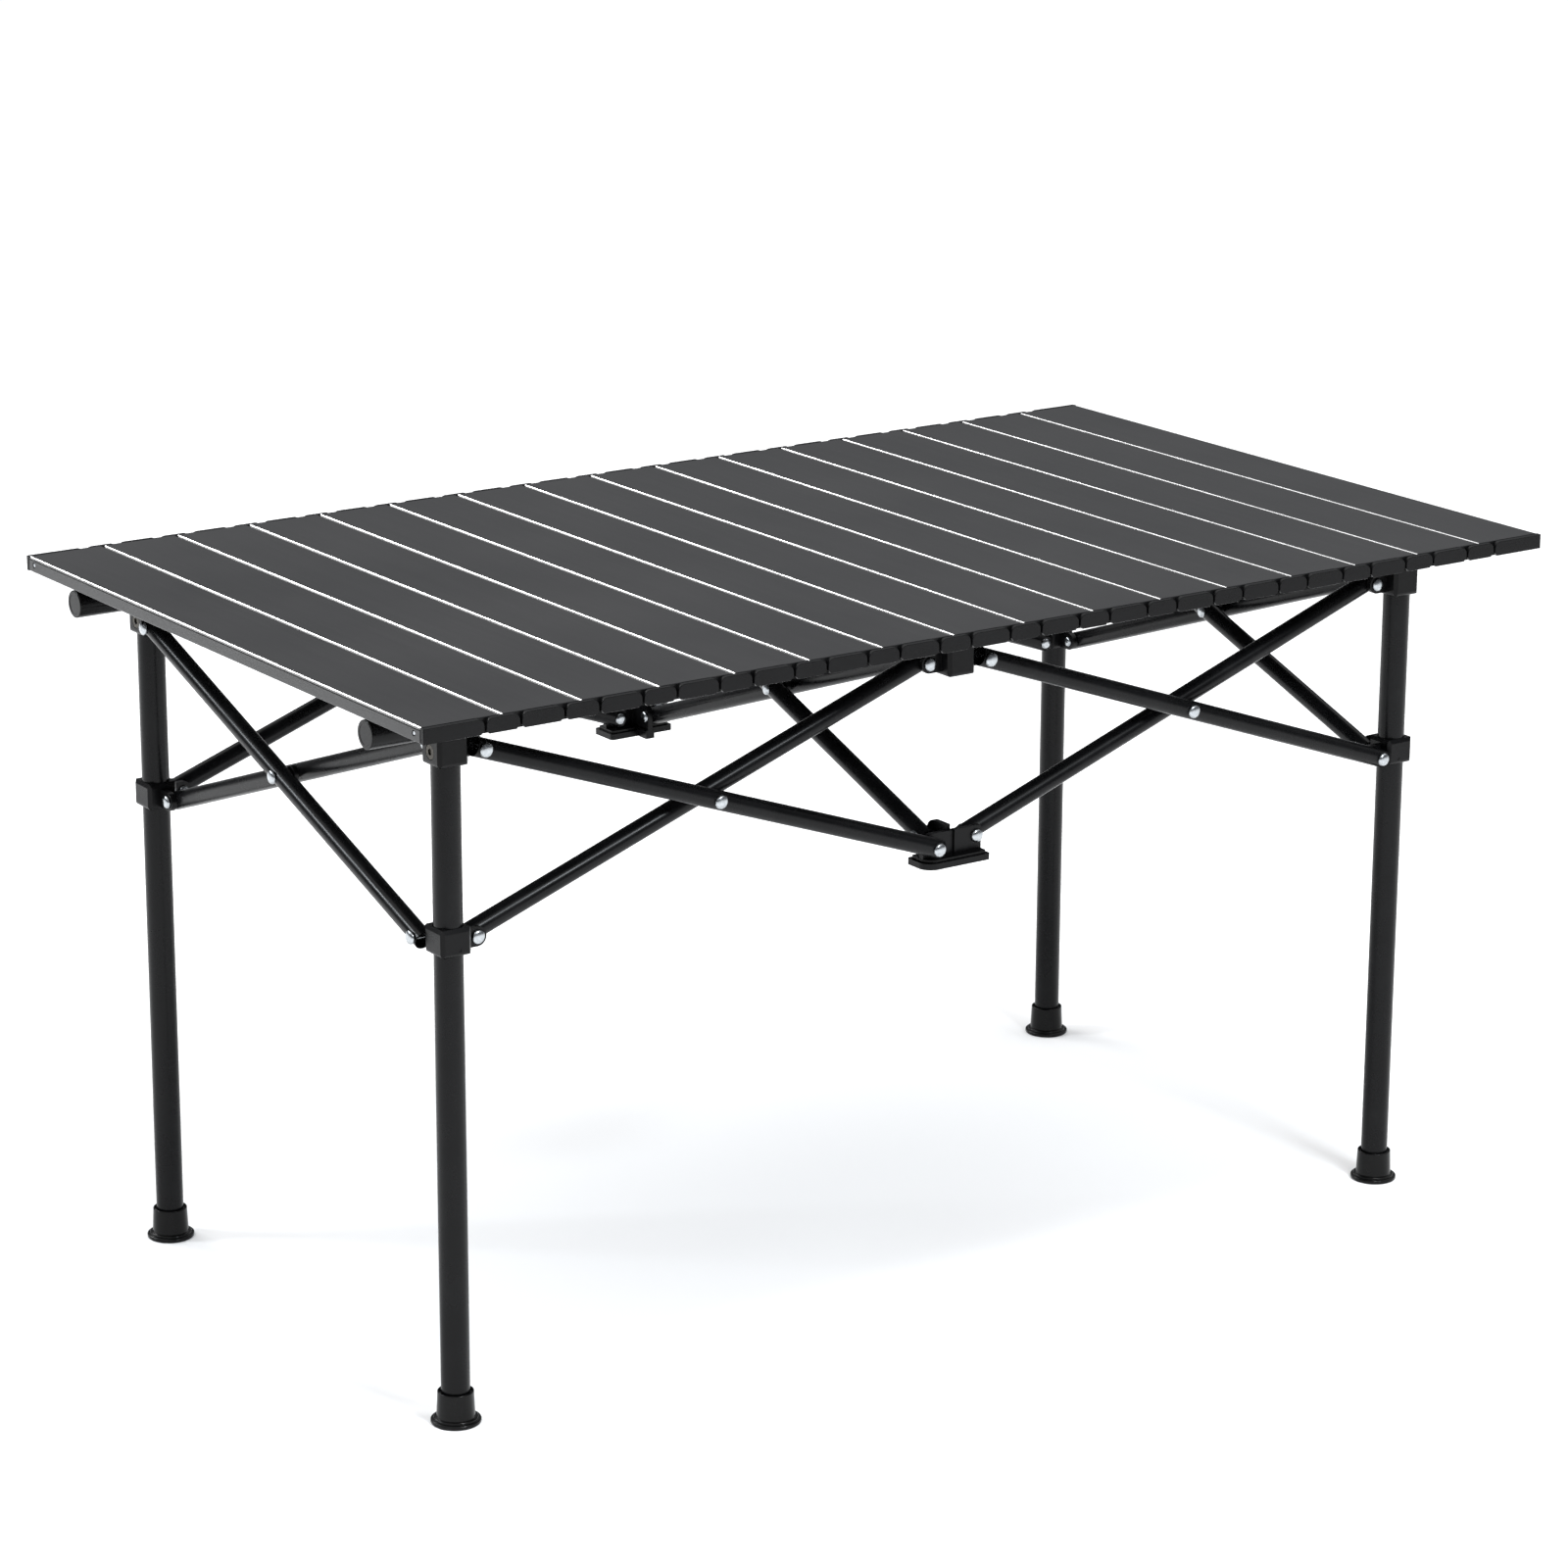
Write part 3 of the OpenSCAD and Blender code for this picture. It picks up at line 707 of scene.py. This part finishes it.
def finish_node(node, slot, bevel):
    """Gives a CAD node its material and soft edges."""
    obj = frame["nodes"][node]
    obj.data.materials.clear()
    obj.data.materials.append(FINISH[slot])
    weld = obj.modifiers.new("weld", "WELD")
    weld.merge_threshold = 0.002 * MM
    soft = obj.modifiers.new("bevel", "BEVEL")
    soft.width = bevel
    soft.segments = 2
    soft.limit_method = "ANGLE"
    soft.angle_limit = math.radians(35)
    soft.harden_normals = True
    weigh_normals(obj)


# ---------- stage ----------

def floor():
    """Wide plain floor under the table."""
    bm = bmesh.new()
    bmesh.ops.create_grid(bm, x_segments=4, y_segments=4, size=FLOOR_HALF)
    mesh = bpy.data.meshes.new("floor")
    bm.to_mesh(mesh)
    bm.free()
    obj = bpy.data.objects.new("floor", mesh)
    bpy.context.scene.collection.objects.link(obj)
    mesh.materials.append(floor_paint())


def softbox(name, place, target, width, height, power, color):
    """Rectangular lamp that looks at a target."""
    data = bpy.data.lights.new(name, "AREA")
    data.shape = "RECTANGLE"
    data.size = width
    data.size_y = height
    data.energy = power
    data.color = color
    obj = bpy.data.objects.new(name, data)
    bpy.context.scene.collection.objects.link(obj)
    obj.location = place
    obj.rotation_euler = (Vector(place) - Vector(target)).to_track_quat("Z", "Y").to_euler()


def sky():
    """Studio surroundings: dim at the horizon and bright overhead."""
    world = bpy.data.worlds.new("studio")
    bpy.context.scene.world = world
    world.use_nodes = True
    nodes = world.node_tree.nodes
    links = world.node_tree.links
    coords = nodes.new("ShaderNodeTexCoord")
    split = nodes.new("ShaderNodeSeparateXYZ")
    ramp = nodes.new("ShaderNodeValToRGB")
    elements = ramp.color_ramp.elements
    elements[0].position = 0.38
    elements[0].color = (0.11, 0.113, 0.12, 1)
    elements[1].position = 0.85
    elements[1].color = (1, 1, 1, 1)
    links.new(coords.outputs["Generated"], split.inputs["Vector"])
    links.new(split.outputs["Z"], ramp.inputs["Fac"])
    links.new(ramp.outputs["Color"], nodes["Background"].inputs["Color"])
    nodes["Background"].inputs["Strength"].default_value = 1.65


def camera():
    """Camera in front of the table, to its left and above it."""
    data = bpy.data.cameras.new("camera")
    data.lens = 111.1
    data.sensor_width = 36
    obj = bpy.data.objects.new("camera", data)
    bpy.context.scene.collection.objects.link(obj)
    heading, pitch, roll = math.radians(34.79), math.radians(16.31), math.radians(0.24)
    turn = Matrix.Rotation(-heading, 4, "Z") @ Matrix.Rotation(math.pi / 2 - pitch, 4, "X")
    turn = turn @ Matrix.Rotation(roll, 4, "Z")
    place = (-2.398, -3.440, 1.632)
    obj.matrix_world = Matrix.Translation(place) @ turn
    bpy.context.scene.camera = obj


# ---------- everything ----------

for slat_name in SLATS:
    slat(slat_name)
for bay in BAYS:
    bar(f"{bay}_outer_bar")
    bar(f"{bay}_inner_bar")
for corner in CORNERS:
    leg(corner)
    foot(corner)
    finish_node(f"{corner}_leg_top", "joint_plastic", MOULD_EDGE)
    finish_node(f"{corner}_slider", "joint_plastic", MOULD_EDGE)
    finish_node(f"{corner}_screw", "screw_metal", METAL_EDGE)
for column in COLUMNS:
    rail(column)
    finish_node(f"{column}_center_block", "joint_plastic", MOULD_EDGE)
    finish_node(f"{column}_hub", "joint_plastic", MOULD_EDGE)
for edge in ("left", "right"):
    finish_node(f"{edge}_edge_rivets", "bright_metal", METAL_EDGE)

floor()
sky()
# Lamps: name, place, target, width, height, watts and color
softbox("front_box", (0.3, -3.4, 2.9), (0, 0, 0.4), 0.9, 0.45, 75, (0.90, 0.95, 1))
softbox("side_box", (-3.5, 2.3, 2.6), (-0.4, 0, 0.5), 0.9, 0.5, 75, (0.90, 0.95, 1))
softbox("back_box", (-1.3, 3.7, 2.7), (0, 0, 0.6), 1.8, 0.9, 60, (1, 1, 1))
softbox("top_box", (0.5, -0.9, 3.6), (0, 0, 0.6), 0.7, 0.4, 60, (1, 1, 1))
camera()
bpy.context.scene.view_settings.view_transform = "Standard"
